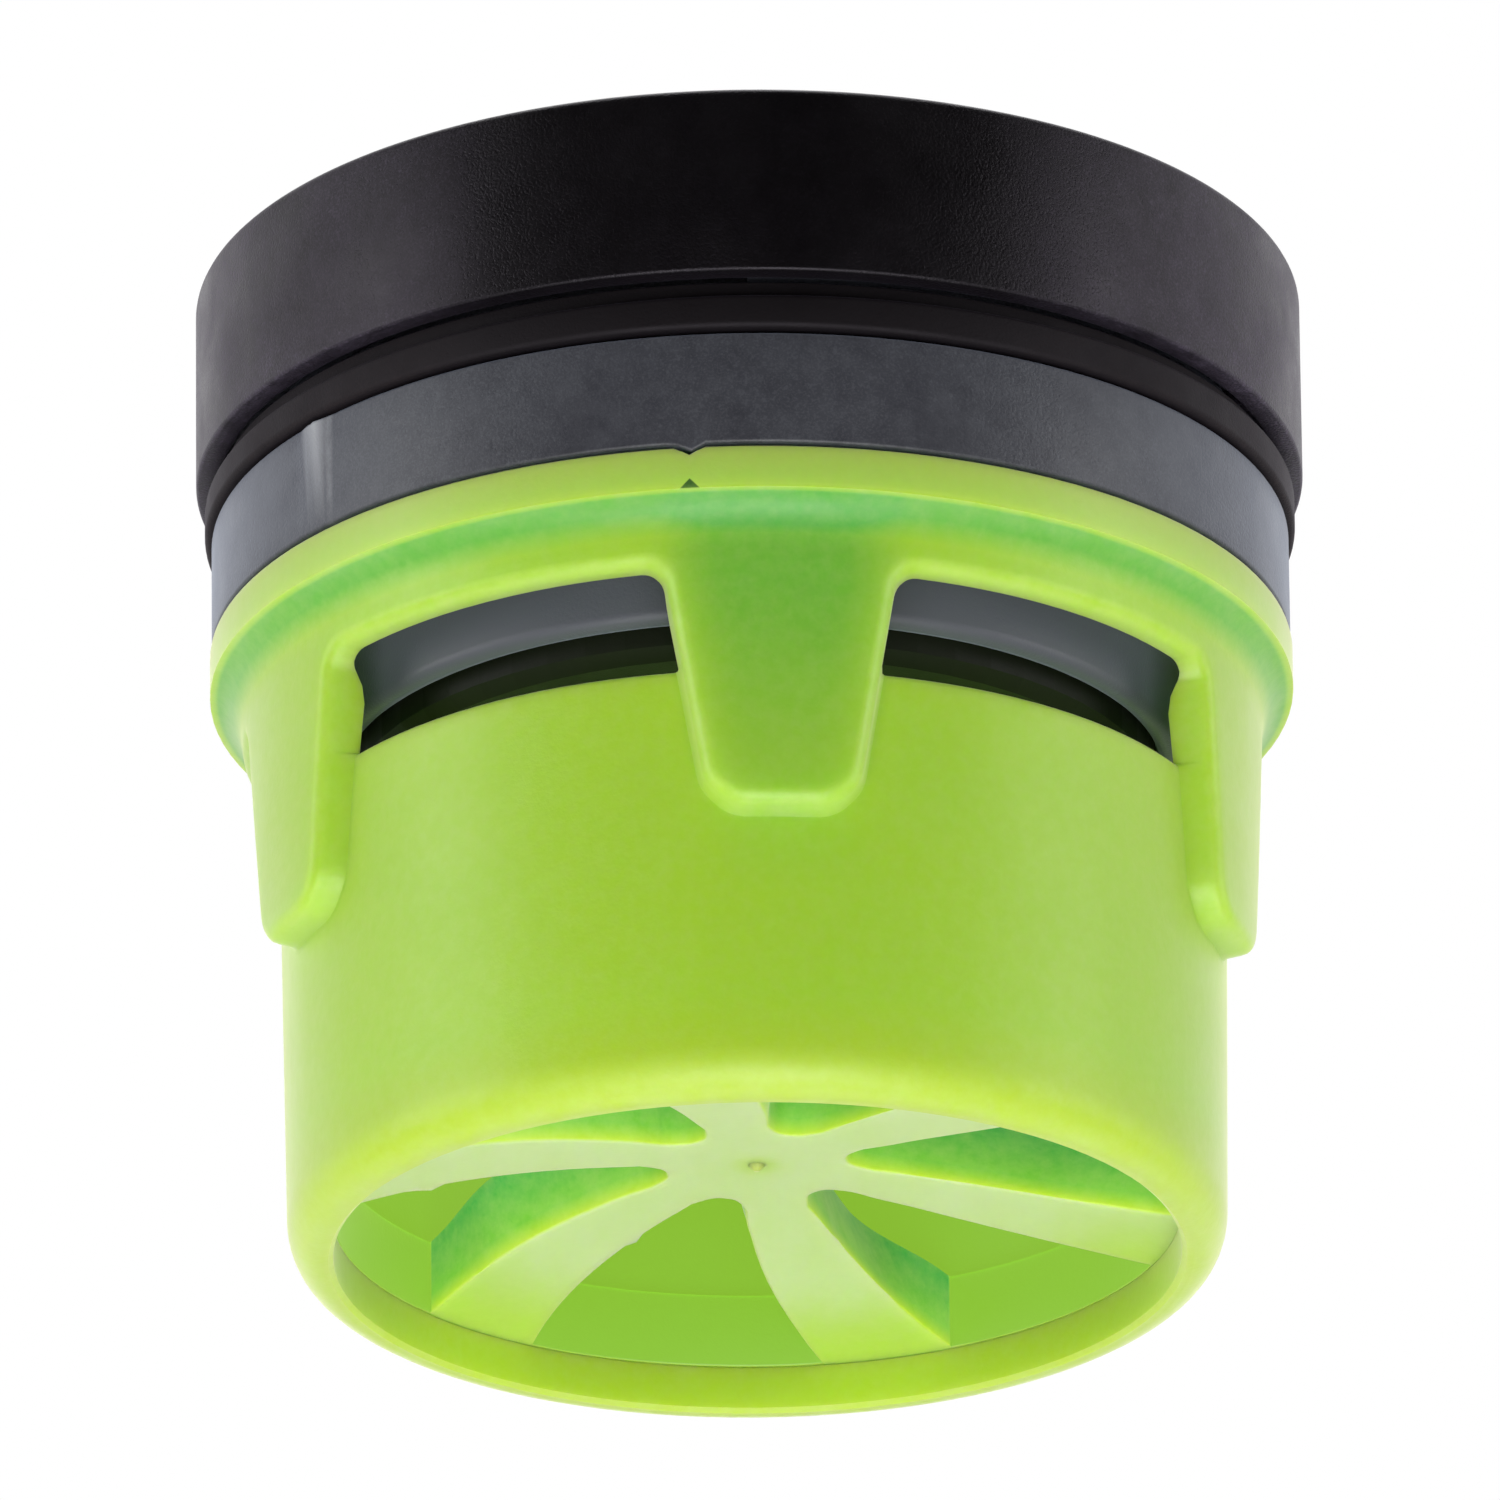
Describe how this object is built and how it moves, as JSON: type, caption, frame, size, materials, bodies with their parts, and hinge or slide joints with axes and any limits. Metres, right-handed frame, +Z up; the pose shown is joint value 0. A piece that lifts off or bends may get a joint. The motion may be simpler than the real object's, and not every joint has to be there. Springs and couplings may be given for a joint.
{
  "type": "wasp trap",
  "caption": "Round wasp trap head: lime entry housing with side windows and a swirled foot grille, grey lift-off collar and black screw cap.",
  "frame": {"origin": "centre of the foot rim, on the surface that the trap head stands on", "axes": "+Z up from the foot to the cap, -Y towards the front with the index mark, +X to the right seen from the front"},
  "size_m": [0.09, 0.09, 0.0831],
  "materials": {
    "lime_plastic": "fine satin moulded polypropylene, slightly translucent lime green",
    "grey_plastic": "satin moulded blue-grey polypropylene",
    "black_plastic": "satin black moulded plastic with fine dust",
    "black_rubber": "matt black sealing rubber",
    "steel_mesh": "fine woven stainless mesh",
    "amber_bait": "pressed amber attractant, waxy",
    "ivory_plastic": "plain ivory moulded plastic",
    "steel_pin": "drawn stainless wire"
  },
  "bodies": {
    "housing": {"entry_housing": "lime_plastic", "vane_grille": "lime_plastic", "head_gasket": "black_rubber"},
    "head": {"collar_ring": "grey_plastic", "seal_band": "black_rubber"},
    "cap_seat": {"cap_seal": "black_rubber"},
    "cap": {"cap_shell": "black_plastic", "hanger_pin_right": "steel_pin", "hanger_pin_left": "steel_pin"},
    "hanger": {"hanger_bail": "black_plastic"},
    "lure": {"lure_cup": "black_plastic", "scent_mesh": "steel_mesh", "bait_puck": "amber_bait"},
    "lid": {"lure_lid": "ivory_plastic"}
  },
  "joints": [
    {"name": "head_lift", "type": "slide", "parent": "housing", "child": "head", "axis": [0, 0, 1], "range_m": [0, 0.03]},
    {"name": "cap_rise", "type": "slide", "parent": "head", "child": "cap_seat", "axis": [0, 0, 1], "range_m": [0, 0.0181]},
    {"name": "cap_turn", "type": "hinge", "parent": "cap_seat", "child": "cap", "pos_m": [0, 0, 0.075], "axis": [0, 0, 1], "range_deg": [0, 540]},
    {"name": "hanger_fold", "type": "hinge", "parent": "cap", "child": "hanger", "pos_m": [0, 0, 0.0806], "axis": [1, 0, 0], "range_deg": [0, 110]},
    {"name": "lure_lift", "type": "slide", "parent": "head", "child": "lure", "axis": [0, 0, 1], "range_m": [0, 0.007]},
    {"name": "lid_lift", "type": "slide", "parent": "lure", "child": "lid", "axis": [0, 0, 1], "range_m": [0, 0.0045]}
  ],
  "couplings": [
    {"joint": "cap_rise", "follows": "cap_turn", "m_per_rad": 0.0019099}
  ]
}
